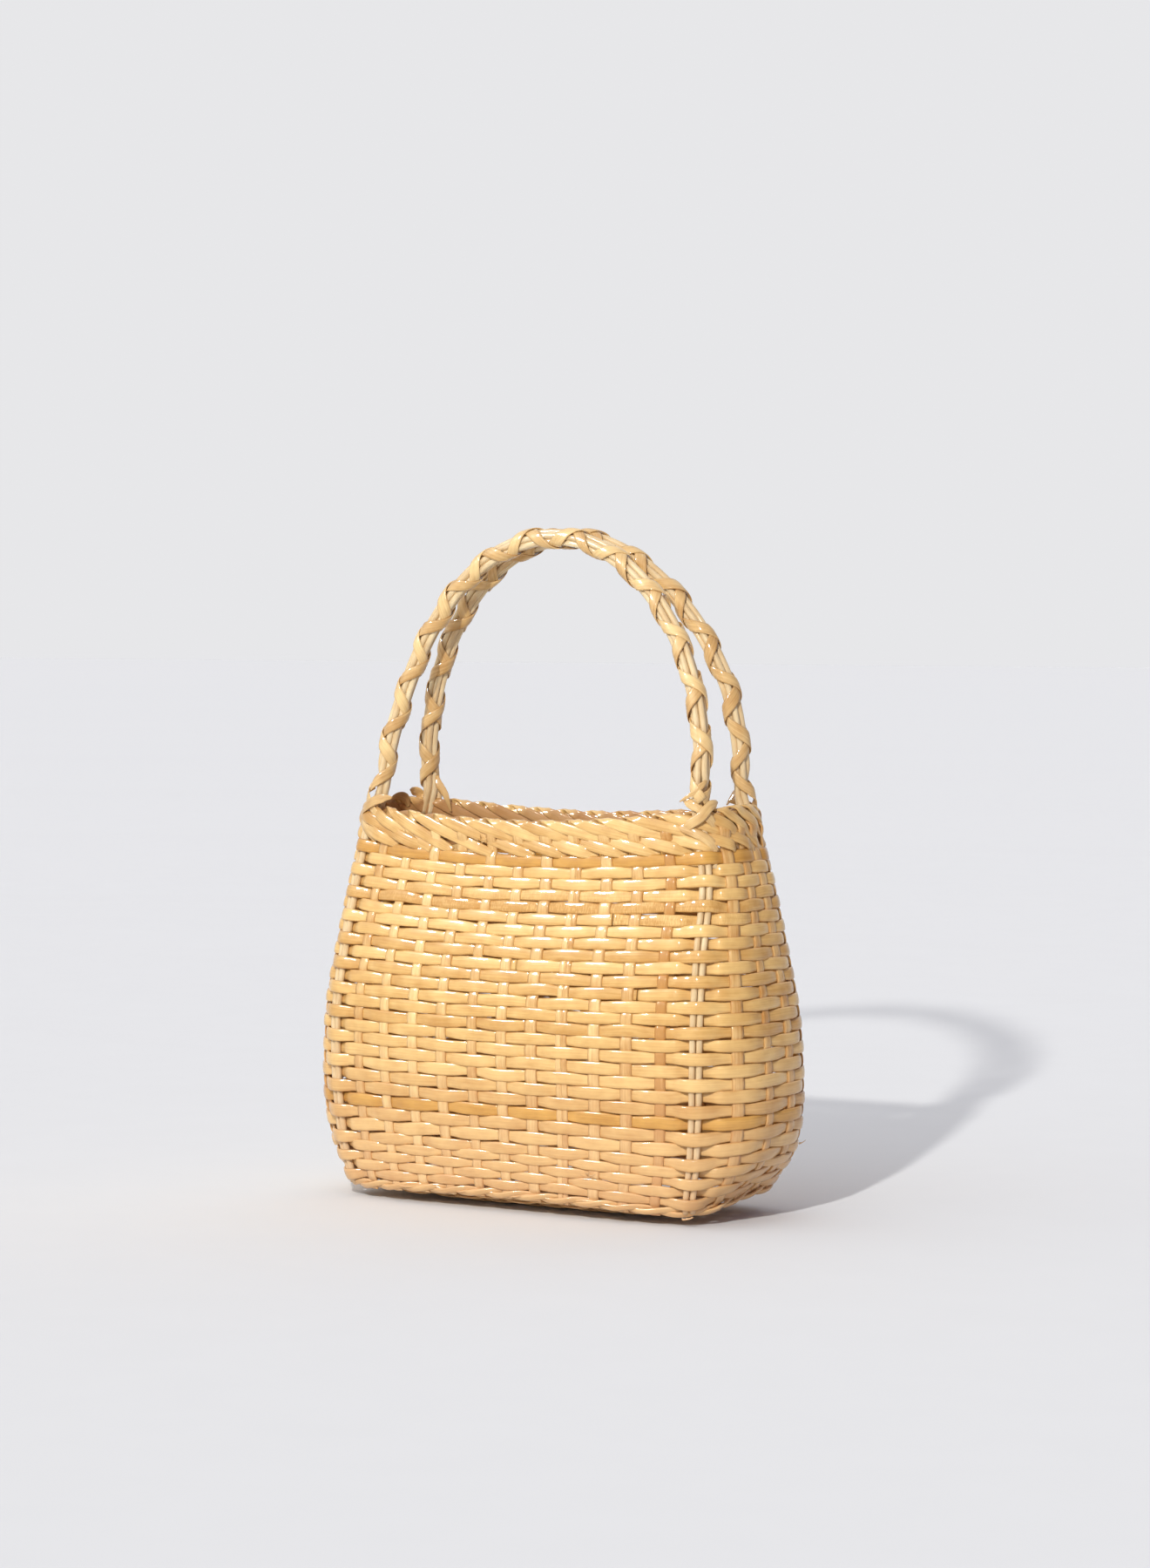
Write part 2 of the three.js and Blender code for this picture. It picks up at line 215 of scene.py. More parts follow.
def unit(vectors):
    return vectors / np.linalg.norm(vectors, axis=-1, keepdims=True)


def course_share(course):
    """Height share of a course."""
    return np.interp(course, COURSE_LEVELS[:, 0], COURSE_LEVELS[:, 1])


def course_number(share):
    """Course number at a height share, running on evenly above the band and below the foot."""
    levels = COURSE_LEVELS[::-1]
    number = np.interp(share, levels[:, 1], levels[:, 0])
    pitch = (COURSE_LEVELS[0, 1] - COURSE_LEVELS[1, 1]) / COURSE_LEVELS[1, 0]
    return np.where(share > COURSE_LEVELS[0, 1], (COURSE_LEVELS[0, 1] - share) / pitch, number)


# Strands

def oval_profile(sides, square=0.75):
    """Flat oval section, as shares of half the width and half the thickness."""
    angle = (np.arange(sides) + 0.5) * 2 * math.pi / sides
    across = np.sign(np.cos(angle)) * np.abs(np.cos(angle)) ** square
    through = np.sign(np.sin(angle)) * np.abs(np.sin(angle)) ** square
    return np.stack([across, through], axis=1)


def half_round_profile(side=-0.35, back=-0.8, back_width=0.92):
    """Section of a split cane: a round face that ends at its sides, and a flat, narrower back."""
    angle = np.linspace(0, math.pi, 9)
    face = np.stack([np.cos(angle), side + (1 - side) * np.sqrt(np.sin(angle).clip(0))], axis=1)
    return np.concatenate([face, [(-back_width, back), (back_width, back)]])


class Strands:
    """Collects many strands into one mesh, with the place along and across each strand."""

    def __init__(self):
        self.points = []
        self.faces = []
        self.along = []
        self.across = []
        self.tone = []
        self.shade = []
        self.total = 0

    def add(self, centre, outward, half_width, half_thick, profile, tone=0.0, shade=0.0, ring=False):
        """A strand through centre, with its flat face turned to outward."""
        centre = np.asarray(centre, float)
        count = len(centre)
        half_width = np.broadcast_to(np.asarray(half_width, float), count)
        half_thick = np.broadcast_to(np.asarray(half_thick, float), count)
        shade = np.broadcast_to(np.asarray(shade, float), count)
        if ring:
            run = np.roll(centre, -1, axis=0) - np.roll(centre, 1, axis=0)
        else:
            run = np.gradient(centre, axis=0)
        run = unit(run)
        wide = unit(np.cross(outward, run))
        face = unit(np.cross(run, wide))
        u = profile[:, 0][None, :, None]
        v = profile[:, 1][None, :, None]
        body = centre[:, None] + wide[:, None] * u * half_width[:, None, None]
        body = body + face[:, None] * v * half_thick[:, None, None]
        sides = len(profile)
        length = np.concatenate([[0], np.cumsum(np.linalg.norm(np.diff(centre, axis=0), axis=1))])
        start = random.uniform(0, 5)
        self.along.append(np.repeat(length + start, sides))
        self.across.append((u[..., 0] * half_width[:, None]).ravel())
        self.tone.append(np.full(count * sides, tone))
        self.shade.append(np.repeat(shade, sides))
        self.points.append(body.reshape(-1, 3))
        rows = np.arange(count if ring else count - 1)[:, None]
        cols = np.arange(sides)[None, :]
        after = (rows + 1) % count
        beside = (cols + 1) % sides
        quads = np.stack([
            rows * sides + cols,
            rows * sides + beside,
            after * sides + beside,
            after * sides + cols,
        ], axis=-1).reshape(-1, 4)
        self.faces.extend((quads + self.total).tolist())
        if not ring:
            first = list(range(self.total + sides - 1, self.total - 1, -1))
            last = [self.total + (count - 1) * sides + index for index in range(sides)]
            self.faces.extend([first, last])
        self.total += count * sides

    def build(self, name, material, slot, *nodes):
        """Makes the piece and lets it stand for CAD nodes."""
        mesh = bpy.data.meshes.new(name)
        mesh.from_pydata(np.concatenate(self.points).tolist(), [], self.faces)
        for label, values in (
            ("along", self.along),
            ("across", self.across),
            ("tone", self.tone),
            ("shade", self.shade),
        ):
            layer = mesh.attributes.new(label, "FLOAT", "POINT")
            layer.data.foreach_set("value", np.concatenate(values).astype(np.float32))
        mesh.shade_smooth()
        mesh.update()
        piece = bpy.data.objects.new(name, mesh)
        bpy.context.scene.collection.objects.link(piece)
        mesh.materials.append(material)
        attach(piece, "root")
        if nodes:
            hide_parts(*nodes)


# Strand sizes
WEAVER_SWING = 0.6 * MM
STAKE_SWING = 0.4 * MM
WEAVER_THICKNESS = 1.3 * MM
STAKE_WIDTH = 5.1 * MM
STAKE_THICKNESS = 1.0 * MM
ROD_RADIUS = 1.28 * MM
ROD_OFFSET = 0.9 * MM
CORNER_LIFT = 0.9 * MM
CORNER_SWING = 1.9 * MM
BORDER_ROW = 4.6 * MM
BORDER_DEPTH = 16.5 * MM
STAKE_IN_BORDER = 1.15 * MM
STAKE_BORDER_SWING = 0.75 * MM
SPLIT_STAKE = 8
STAKE_END = 3.0 * MM
FOOT_SHARE = SECTIONS[0, 0]
FOOT_POWER = SECTIONS[0, 4]
STEPS_PER_STAKE = 14
FLAT_PROFILE = oval_profile(10)
SPLIT_PROFILE = half_round_profile()
THIN_PROFILE = oval_profile(8)
ROUND_PROFILE = oval_profile(10, 1.0)


def wander(count, amount, closed=True):
    """Smooth random drift with one free value at each stake."""
    values = random.normal(0, amount, STAKES)
    position = np.linspace(0, STAKES, count, endpoint=not closed)
    low = np.floor(position).astype(int)
    t = position - low
    t = t * t * (3 - 2 * t)
    return values[low % STAKES] * (1 - t) + values[(low + 1) % STAKES] * t


def flatten(phase, sharpness=1.4):
    """A wave between -1 and 1 with flatter tops."""
    return np.tanh(sharpness * phase) / math.tanh(sharpness)


def corner_nearness(stake):
    """One at a corner stake and nothing a pitch away from it."""
    gap = np.min([np.abs(np.mod(stake - corner + STAKES / 2, STAKES) - STAKES / 2)
                  for corner in CORNER_STAKES], axis=0)
    return np.clip(1 - gap, 0, 1)


# Courses whose weaver has a joint, with the stake where a new strip starts and the gap left, in pitches
JOINTS = {5: (9.36, 0.05), 9: (6.38, 0.05), 11: (10.32, 0.055), 12: (27.3, 0.05), 16: (31.35, 0.05),
          23: (21.4, 0.05)}

# Courses with a rough, cross-hatched surface and how rough they are, most of all at one stake of the front
ROUGH_COURSES = {3: 0.35, 4: 0.9, 5: 1.0}
ROUGH_STAKE = 7.0
ROUGH_REACH = 5.5

# Courses and stakes that are darker or paler than the others
COURSE_TONES = {1: -0.3, 2: -0.3, 3: -0.2, 10: 0.35, 14: 0.55, 15: -0.3, 18: -0.2}
STAKE_TONES = {3: -0.3, 6: -0.3, 10: 0.4, 11: 1.5, 13: 0.5, 14: 0.4}

# Share of the course pitch that a weaver fills, against its phase: behind a stake at -1, over one at 1.
# Low on the body, from the course named here on, the floats come to bulge over their neighbours.
WIDTH_PHASES = (-1, -0.75, 0, 0.6, 1)
WIDTH_SHARES = (0.91, 0.925, 0.99, 1.02, 1.03)
LOW_WIDTH_SHARES = (0.83, 0.87, 1.01, 1.12, 1.16)
BULGE_FIRST_COURSE = 20
BULGE_COURSES = 6
CORNER_NARROWING = 0.06

# Unevenness of the weavers: drift of a course as a height share, and shares of their swing and width
COURSE_DRIFT = 0.16
SWING_DRIFT = 0.08
WIDTH_DRIFT = 0.012

# Shift of a weaver's phase that makes its floats longer than its dips, how flat they are, and the half
# pitch above the top band as a height share
FLOAT_OFFSET = 0.35
FLOAT_SHARPNESS = 1.3
TOP_BAND_HALF_PITCH = 0.0165


def weaver_path(course, count, start, length):
    """Stake positions, centre line, outward direction and half widths of one course."""
    stake = start + np.linspace(0, length, count, endpoint=length < STAKES)
    phase = np.cos(math.pi * (stake + course))
    drift = wander(count, COURSE_DRIFT) / COURSES * 0.25
    level = course_share(course) + drift * (course > 0)
    above = surface(stake, course_share(course - 0.5) if course else level + TOP_BAND_HALF_PITCH)[0]
    below = surface(stake, course_share(course + 0.5))[0]
    pitch = np.linalg.norm(above - below, axis=-1)
    place, outward = surface(stake, level)[:2]
    swing = WEAVER_SWING * flatten(phase + FLOAT_OFFSET, FLOAT_SHARPNESS) * (1 + wander(count, SWING_DRIFT))
    near = smooth(corner_nearness(stake))
    swing = swing * (1 - near) + (CORNER_LIFT + CORNER_SWING * flatten(phase)) * near
    low = smooth((course - BULGE_FIRST_COURSE) / BULGE_COURSES)
    share = (1 - low) * np.interp(phase, WIDTH_PHASES, WIDTH_SHARES)
    share = share + low * np.interp(phase, WIDTH_PHASES, LOW_WIDTH_SHARES)
    share = share - CORNER_NARROWING * near * (phase < 0)
    half_width = pitch / 2 * share * (1 + wander(count, WIDTH_DRIFT))
    return stake, place + outward * swing[:, None], outward, half_width


def add_weaver(strands, course, tone):
    start, gap = JOINTS.get(course, (0.0, 0.0))
    length = STAKES - gap
    count = int(length * STEPS_PER_STAKE)
    stake, centre, outward, half_width = weaver_path(course, count, start, length)
    rough = ROUGH_COURSES.get(course, 0.0) * np.exp(-((stake - ROUGH_STAKE) / ROUGH_REACH) ** 2)
    strands.add(centre, outward, half_width, WEAVER_THICKNESS / 2, SPLIT_PROFILE,
                tone=tone, shade=rough, ring=gap == 0)


# Last course of the upper piece of the wall
MIDDLE_COURSE = 14
TONE_SPREAD = 0.3


def wall_weave(material):
    """Every course of the wall but the two dark ones, in an upper and a lower piece."""
    upper = Strands()
    lower = Strands()
    for course in range(1, COURSES + 1):
        if course != LOWER_BAND_COURSE:
            tone = random.normal(0, TONE_SPREAD) + COURSE_TONES.get(course, 0.0)
            add_weaver(upper if course <= MIDDLE_COURSE else lower, course, tone)
    foot_twist(lower)
    upper.build("upper_courses", material, "cane", "basket_wall")
    lower.build("lower_courses", material, "cane", "basket_wall")


TWIST_OUT = 0.2 * MM
TWIST_LIFT = 0.8 * MM
TWIST_DROP = 0.9 * MM
TWIST_HALF_WIDTH = 1.3 * MM
TWIST_HALF_THICKNESS = 0.6 * MM
TWIST_TILT = 0.35


def foot_twist(strands):
    """The pair of strands that twist round each other along the foot."""
    stake = np.linspace(0, STAKES, STAKES * STEPS_PER_STAKE, endpoint=False)
    for strand in (0, 1):
        turn = math.pi * (stake + strand)
        place, outward, _, upwards = surface(stake, course_share(FOOT_COURSE))
        centre = place + outward * (TWIST_LIFT * np.cos(turn) + TWIST_OUT)[:, None]
        centre = centre + upwards * (TWIST_DROP * np.sin(turn))[:, None]
        facing = unit(outward - upwards * TWIST_TILT)
        strands.add(centre, facing, TWIST_HALF_WIDTH, TWIST_HALF_THICKNESS, SPLIT_PROFILE,
                    tone=random.normal(0.1, 0.1), ring=True)


def band(name, course, material, node):
    """One course of its own darker cane."""
    strands = Strands()
    add_weaver(strands, course, random.normal(0, 0.1))
    strands.build(name, material, "dark_cane", node)


STAKE_POINTS = 270
STAKE_FOOT_SHARE = FOOT_SHARE - 0.004
BORDER_BLEND = 2.5 * MM

# Halves of the split stake: distance from its middle, width as a share of a whole stake's, and tone
SPLIT_OFFSET = 1.2 * MM
SPLIT_WIDTH = 0.49
SPLIT_TONE = 0.3


def wall_stakes(material):
    """The flat upright strips, which run on through the border. One on the front is split in two."""
    strands = Strands()
    levels = np.linspace(STAKE_FOOT_SHARE, 1 - STAKE_END / BODY_HEIGHT, STAKE_POINTS)
    number = course_number(levels)
    for stake in range(STAKES):
        if stake in CORNER_STAKES:
            continue
        shift = random.normal(0, 0.015)
        place, outward, sideways, _ = surface(stake + shift, levels)
        phase = np.cos(math.pi * (stake + number))
        depth = (1 - levels) * BODY_HEIGHT
        in_border = smooth((BORDER_DEPTH - depth) / BORDER_BLEND)
        row = (depth - plait_depth(2)) / BORDER_ROW
        plaited = STAKE_IN_BORDER + STAKE_BORDER_SWING * np.cos(math.pi * row)
        swing = -STAKE_SWING * flatten(phase) * (1 - in_border) + plaited * in_border
        centre = place + outward * swing[:, None]
        width = STAKE_WIDTH / 2 * (1 + random.normal(0, 0.05))
        width = width * np.interp(levels, [0, 0.2, 1], [0.88, 1, 1])
        if stake == SPLIT_STAKE:
            for way in (-1, 1):
                strands.add(centre + sideways * way * SPLIT_OFFSET, outward, width * SPLIT_WIDTH,
                            STAKE_THICKNESS / 2, THIN_PROFILE, tone=SPLIT_TONE * way)
        else:
            strands.add(centre, outward, width, STAKE_THICKNESS / 2, THIN_PROFILE,
                        tone=random.normal(-0.2, TONE_SPREAD) + STAKE_TONES.get(stake, 0.0))
    strands.build("wall_stakes", material, "cane")


# Border

ROLL_DEPTH = 2.0 * MM
ROLL_RADIUS = 1.9 * MM
ROLL_START = -0.4
ROLL_END = 0.3
BORDER_RUN = 3.7

# Dip of the rim in millimetres at stakes round the mouth
RIM_DIPS = np.array([(0, 3.0), (1.5, 3.7), (4, 3.7), (7, 3.3), (10, 2.8), (12, 1.8), (14, 0.8), (17, 0.8),
                     (20, 1.4), (26, 1.7), (29, 1.6), (32, 2.2), (34, 3.0)])
PLAIT_LIFT = 1.3 * MM
PLAIT_SWING = 0.65 * MM
PLAIT_SHARPNESS = 1.2
PLAIT_HALF_WIDTH = 2.35 * MM
PLAIT_TILT = 0.07
PLAIT_THICKNESS = 1.1 * MM

# Past a corner the strips run down more steeply: by how many pitches, where and how far along
CORNER_STEEPNESS = 1.1
CORNER_STEEP_PLACE = 0.8
CORNER_STEEP_REACH = 1.7

# Points of a strip, where it starts on the inside, in pitches, and where it leaves the rim on each side
INNER_POINTS = 26
ROLL_POINTS = 16
OUTER_POINTS = 42
INNER_START = -2.9
INNER_LEAVE = 0.6
OUTER_LEAVE = 0.5
ROLL_FLATNESS = 0.8

# How far the end of a strip sinks into the weave, in the last stretch of its run
END_SINK = 1.6 * MM
END_RUN = 0.5

# Swelling of the plait at the left front corner, where the strips lie over the handle's leg
BULGE = 1.7 * MM
BULGE_REACH = 1.3


def plait_depth(run):
    """Depth below the rim at a run of pitches from the place where a strip crosses the rim."""
    return ROLL_DEPTH + (run - ROLL_END) * BORDER_ROW


def plait_reach(start):
    """Pitches that a strip runs down the outside: the plait is steeper just past each corner."""
    past = np.min([np.mod(start - corner, STAKES) for corner in CORNER_STAKES])
    return BORDER_RUN - CORNER_STEEPNESS * math.exp(-((past - CORNER_STEEP_PLACE) / CORNER_STEEP_REACH) ** 2)


def border_share(stake, depth):
    """Height share at a depth below the rim: the rim dips unevenly round the mouth."""
    dip = np.interp(np.mod(stake, STAKES), RIM_DIPS[:, 0], RIM_DIPS[:, 1]) * MM
    return 1 - (depth + dip * np.clip(1 - depth / BORDER_DEPTH, 0, 1)) / BODY_HEIGHT


def border_strip(strands, start, tone):
    """One plait strip: up the inside, over the rim and down the outside to the right."""
    inner = np.linspace(INNER_START, ROLL_START, INNER_POINTS)
    roll = np.linspace(0, 1, ROLL_POINTS)[1:-1]
    reach = plait_reach(start)
    outer = np.linspace(ROLL_END, reach, OUTER_POINTS)
    steep = (BORDER_RUN - ROLL_END) / (reach - ROLL_END)
    points = []
    facing = []
    for run in inner:
        depth = ROLL_DEPTH + (ROLL_START - run) * BORDER_ROW
        place, outward, _, upwards = surface(start + run, border_share(start + run, depth))
        near_rim = 1 - smooth((ROLL_START - run) / INNER_LEAVE)
        lift = PLAIT_LIFT - PLAIT_SWING * math.cos(math.pi * run)
        lift = lift * (1 - near_rim) + ROLL_RADIUS * near_rim
        points.append(place - outward * lift)
        facing.append(-outward + upwards * PLAIT_TILT * (1 - near_rim))
    for share in roll:
        angle = math.pi * (1 - share)
        run = ROLL_START + (ROLL_END - ROLL_START) * share
        place, outward, _, upwards = surface(start + run, border_share(start + run, ROLL_DEPTH))
        side = ROLL_RADIUS * math.cos(angle)
        points.append(place + outward * side + upwards * (ROLL_RADIUS * ROLL_FLATNESS * math.sin(angle)))
        facing.append(outward * math.cos(angle) + upwards * math.sin(angle))
    for run in outer:
        depth = plait_depth(ROLL_END + (run - ROLL_END) * steep)
        place, outward, _, upwards = surface(start + run, border_share(start + run, depth))
        near_rim = 1 - smooth((run - ROLL_END) / OUTER_LEAVE)
        lift = PLAIT_LIFT - PLAIT_SWING * flatten(math.cos(math.pi * run), PLAIT_SHARPNESS)
        lift = lift * (1 - near_rim) + ROLL_RADIUS * near_rim
        lift = lift - END_SINK * smooth((run - reach + END_RUN) / (0.9 * END_RUN))
        turn = np.mod(start + run + STAKES / 2, STAKES) - STAKES / 2
        swelling = math.exp(-(turn / BULGE_REACH) ** 2) * smooth(run) * smooth(2 * (reach - 0.3 - run))
        lift = lift + BULGE * swelling
        points.append(place + outward * lift)
        facing.append(outward + upwards * PLAIT_TILT * (1 - near_rim))
    run = np.concatenate([inner, ROLL_START + (ROLL_END - ROLL_START) * roll, outer])
    width = PLAIT_HALF_WIDTH * (1 + random.normal(0, 0.04)) * np.ones(len(run))
    width *= np.interp(run, [INNER_START, INNER_START + 0.3, reach - END_RUN, reach], [0.6, 1, 1, 0.7])
    width *= np.interp(run, [-0.6, -0.2, 0.1, 0.6], [1, 0.75, 0.7, 1])
    # Painted shade: the run of the strip down the inside of the wall is marked to be darkened
    inner_shade_share = np.interp(run, [-0.5, 0.0], [-1.0, 0.0])
    strands.add(np.array(points), unit(np.array(facing)), width, PLAIT_THICKNESS / 2, SPLIT_PROFILE,
                tone=tone, shade=inner_shade_share)


def border_weave(material):
    """A plait strip from each stake round the mouth."""
    strands = Strands()
    for start in range(STAKES):
        border_strip(strands, start + random.normal(0, 0.03), random.normal(0, TONE_SPREAD))
    strands.build("border_plait", material, "border_cane", "rim_border")


# Handles

HANDLE_RISE = 104 * MM
HANDLE_TOP_SPACING = 11.4 * MM
HANDLE_TOP_SHIFT = 2.2 * MM
LEAN_POWER = 1.2
LEG_TURN = 0.6

# How far the left and the right leg of a handle lean sideways, in millimetres, at distances above the rim
SHIFT_PLACES = (-10, -4, 6, 20, 45, 70, 105)
FRONT_SHIFTS = ((0, 0.6, 2.4, 3.1, 3.3, 2.0, 0), (0, 0.3, 1.4, 1.9, 1.9, 1.2, 0))
REAR_SHIFTS = ((0, 0, 0, 0, 0, 0, 0), (0, -0.8, -1.7, -0.6, 2.0, 1.6, 0))

# Handles: name, stakes that the left and the right leg follow, side of the bag and lean of the legs
HANDLES = (
    ("front", LEFT_FRONT, RIGHT_FRONT, -1, FRONT_SHIFTS),
    ("rear", LEFT_BACK, RIGHT_BACK, 1, REAR_SHIFTS),
)

# Strips round each handle: name, way that they turn and whether they start as the outer one
WRAPS = (("inner", 1, False), ("outer", -1, True))
ROD_FOOT_SHARE = 0.035
LEG_POINTS = 110
ARCH_POINTS = 181
ROUTE_STEP = 1.6 * MM
ROUTE_SMOOTHINGS = 6
SWELL_LENGTH = 16 * MM
BUNDLE_RADIUS = 2.1 * MM

# Rods of a handle: sideways and outward place on the wall, lowest distance below the rim, and the angle
# of their place in the bundle, all in millimetres and degrees
RODS = np.array([
    (-1.35, 0.0, -200.0, 162.0),
    (1.35, 0.0, -200.0, 18.0),
    (-3.7, -1.3, -25.0, 90.0),
    (-1.2, -2.4, -8.0, -126.0),
    (1.2, -2.4, -8.0, -54.0),
])

WRAP_HALF_WIDTH = 2.35 * MM
WRAP_THICKNESS = 0.55 * MM
WRAP_RADIUS = 3.65 * MM
WRAP_LAYER = 0.65 * MM
WRAP_PITCH = 22 * MM
WRAP_START = 2.5 * MM
WRAP_STEPS_PER_TURN = 30
WRAP_TAPER = 9 * MM
WRAP_RADIUS_DRIFT = 0.12 * MM
WRAP_WIDTH_DRIFT = 0.09
WRAP_WIDTH_RIPPLE = 0.05

# Section of a wrap, which bends round the bundle of rods
WRAP_PROFILE = oval_profile(10)
WRAP_PROFILE[:, 1] -= WRAP_PROFILE[:, 0] ** 2


def handle_route(left_stake, right_stake, side, shifts):
    """Evenly spaced places, outward and sideways directions, and distances above the rim."""
    shares = np.linspace(ROD_FOOT_SHARE, 1, LEG_POINTS)
    legs = []
    for stake in (left_stake, right_stake):
        place, outward = surface(stake, shares)[:2]
        legs.append((place + outward * ROD_OFFSET, outward))
    left, right = legs[0][0][-1], legs[1][0][-1]
    angle = np.linspace(math.pi, 0, ARCH_POINTS)[1:-1]
    rise = np.sin(angle)
    middle = (left + right) / 2
    reach = (right[0] - left[0]) / 2
    top_depth = HANDLE_TOP_SHIFT + side * HANDLE_TOP_SPACING / 2
    x = middle[0] + reach * np.cos(angle)
    y = middle[1] + (top_depth - middle[1]) * (1 - (1 - rise) ** LEAN_POWER)
    z = middle[2] + HANDLE_RISE * rise
    lean = np.stack([np.cos(angle), side * LEG_TURN * (1 - rise), rise], axis=1)
    places = np.concatenate([legs[0][0], np.stack([x, y, z], axis=1), legs[1][0][::-1]])
    outward = np.concatenate([legs[0][1], unit(lean), legs[1][1][::-1]])
    length = np.concatenate([[0], np.cumsum(np.linalg.norm(np.diff(places, axis=0), axis=1))])
    low_rim, high_rim = length[LEG_POINTS - 1], length[-LEG_POINTS]
    count = int(length[-1] / ROUTE_STEP)
    even = np.linspace(0, length[-1], count)
    places = np.stack([np.interp(even, length, places[:, axis]) for axis in range(3)], axis=1)
    outward = np.stack([np.interp(even, length, outward[:, axis]) for axis in range(3)], axis=1)
    above_rim = np.minimum(even - low_rim, high_rim - even)
    for distance, shift in zip((even - low_rim, high_rim - even), shifts):
        places[:, 0] += np.interp(distance / MM, SHIFT_PLACES, shift) * MM
    for _ in range(ROUTE_SMOOTHINGS):
        places[1:-1] = (places[:-2] + 2 * places[1:-1] + places[2:]) / 4
        outward[1:-1] = (outward[:-2] + 2 * outward[1:-1] + outward[2:]) / 4
    run = unit(np.gradient(places, axis=0))
    across = unit(np.cross(run, outward))
    outward = unit(np.cross(across, run))
    return {"place": places, "outward": outward, "across": across, "above": above_rim,
            "length": even, "start": low_rim, "end": high_rim}


def handle_rods(strands, route):
    """Rods that lie side by side on the wall and gather to a round bundle above the rim."""
    swell = smooth(route["above"] / SWELL_LENGTH)[:, None]
    for sideways, outward, lowest, turn in RODS:
        turn = math.radians(turn)
        wide = sideways * MM * (1 - swell) + BUNDLE_RADIUS * math.cos(turn) * swell
        deep = outward * MM * (1 - swell) + BUNDLE_RADIUS * math.sin(turn) * swell
        centre = route["place"] + route["across"] * wide + route["outward"] * deep
        keep = route["above"] > lowest * MM
        centre = centre[keep] + random.normal(0, 0.04 * MM, 3)
        strands.add(centre, route["outward"][keep], ROD_RADIUS, ROD_RADIUS, ROUND_PROFILE,
                    tone=random.normal(0, TONE_SPREAD))


def at_distance(route, name, distance):
    """Values of a route at distances along it."""
    values = route[name]
    return np.stack([np.interp(distance, route["length"], values[:, axis]) for axis in range(3)], axis=1)


def handle_wrap(strands, route, turn_way, outer_first):
    """A strip wound round the bundle, which passes over and under the other strip by turns."""
    length = route["end"] - route["start"] - 2 * WRAP_START
    turns = round(length / WRAP_PITCH)
    distance = route["start"] + WRAP_START + np.linspace(0, length, turns * WRAP_STEPS_PER_TURN + 1)
    turn = np.linspace(0, turns * 2 * math.pi, len(distance))
    place = at_distance(route, "place", distance)
    outward = unit(at_distance(route, "outward", distance))
    across = unit(at_distance(route, "across", distance))
    radial = outward * np.cos(turn)[:, None] + across * (turn_way * np.sin(turn))[:, None]
    sign = 1 if outer_first else -1
    radius = WRAP_RADIUS + WRAP_LAYER / 2 * (1 + sign * np.cos(turn))
    radius = radius + WRAP_RADIUS_DRIFT * np.sin(turn * 0.61 + 2 * turn_way)
    drift = WRAP_WIDTH_DRIFT * np.sin(turn * 0.37 + turn_way) + WRAP_WIDTH_RIPPLE * np.sin(turn * 1.7)
    width = WRAP_HALF_WIDTH * (1 + drift)
    width = width * np.interp(distance, [distance[0], distance[0] + WRAP_TAPER], [0.55, 1])
    strands.add(place + radial * radius[:, None], radial, width, WRAP_THICKNESS / 2, WRAP_PROFILE,
                tone=random.normal(0, 0.2))


def make_handle(name, left_stake, right_stake, side, shifts):
    route = handle_route(left_stake, right_stake, side, shifts)
    rods = Strands()
    handle_rods(rods, route)
    rods.build(f"{name}_rods", ROD_CANE, "rod_cane", f"{name}_handle_rods")
    for layer, turn_way, outer_first in WRAPS:
        strips = Strands()
        handle_wrap(strips, route, turn_way, outer_first)
        strips.build(f"{name}_wrap_{layer}", WRAP_CANE, "wrap_cane", f"{name}_handle_wrap_{layer}")


# Short strips

def through(points, count=28):
    """Smooth curve through a few points."""
    points = np.asarray(points, float)
    padded = np.concatenate([2 * points[:1] - points[1:2], points, 2 * points[-1:] - points[-2:-1]])
    position = np.linspace(0, len(points) - 1, count)
    index = np.clip(position.astype(int), 0, len(points) - 2)
    t = (position - index)[:, None]
    a, b, c, d = (padded[index + shift] for shift in range(4))
    return 0.5 * (2 * b + (c - a) * t + (2 * a - 5 * b + 4 * c - d) * t ** 2
                  + (3 * b - a - 3 * c + d) * t ** 3)


# Height share where the strips near the rim measure the pitch of the stakes
NEAR_RIM = 0.97


def near_surface(stake, table, count=28):
    """Curve over the wall from rows of millimetres: along the wall, above the rim, out from the wall."""
    row = through(table, count)
    pitch = np.linalg.norm(surface(stake + 0.5, NEAR_RIM)[0] - surface(stake - 0.5, NEAR_RIM)[0])
    share = 1 + row[:, 1] * MM / BODY_HEIGHT
    place, outward = surface(stake + row[:, 0] * MM / pitch, share)[:2]
    return place + outward * (row[:, 2] * MM)[:, None], outward


def taper(count, places, widths):
    """Half widths in metres along a strip, from places as shares of its length and widths in millimetres."""
    return np.interp(np.linspace(0, 1, count), places, widths) * MM


# Strips that tie a leg of a handle to the border: half width and rows of millimetres as near_surface
# takes them
LASHINGS = (
    (1.8, ((-4.2, 3.4, 0.2), (-2.6, 2.6, 2.8), (-0.5, 0.2, 4.0), (2.2, -2.8, 4.0), (5.0, -6.0, 2.8),
           (7.0, -9.0, 0.6))),
    (2.0, ((10.5, 1.2, 1.0), (8.0, 0.8, 3.0), (4.5, -1.6, 4.6), (1.2, -4.4, 4.8), (-2.6, -6.8, 3.6),
           (-5.5, -9.4, 0.8))),
    (1.9, ((-7.5, -6.8, 0.4), (-4.5, -8.2, 2.4), (-0.5, -11.0, 2.9), (3.2, -13.8, 2.5), (6.0, -17.5, 0.4))),
)
LASHING_HALF_THICKNESS = 0.3 * MM


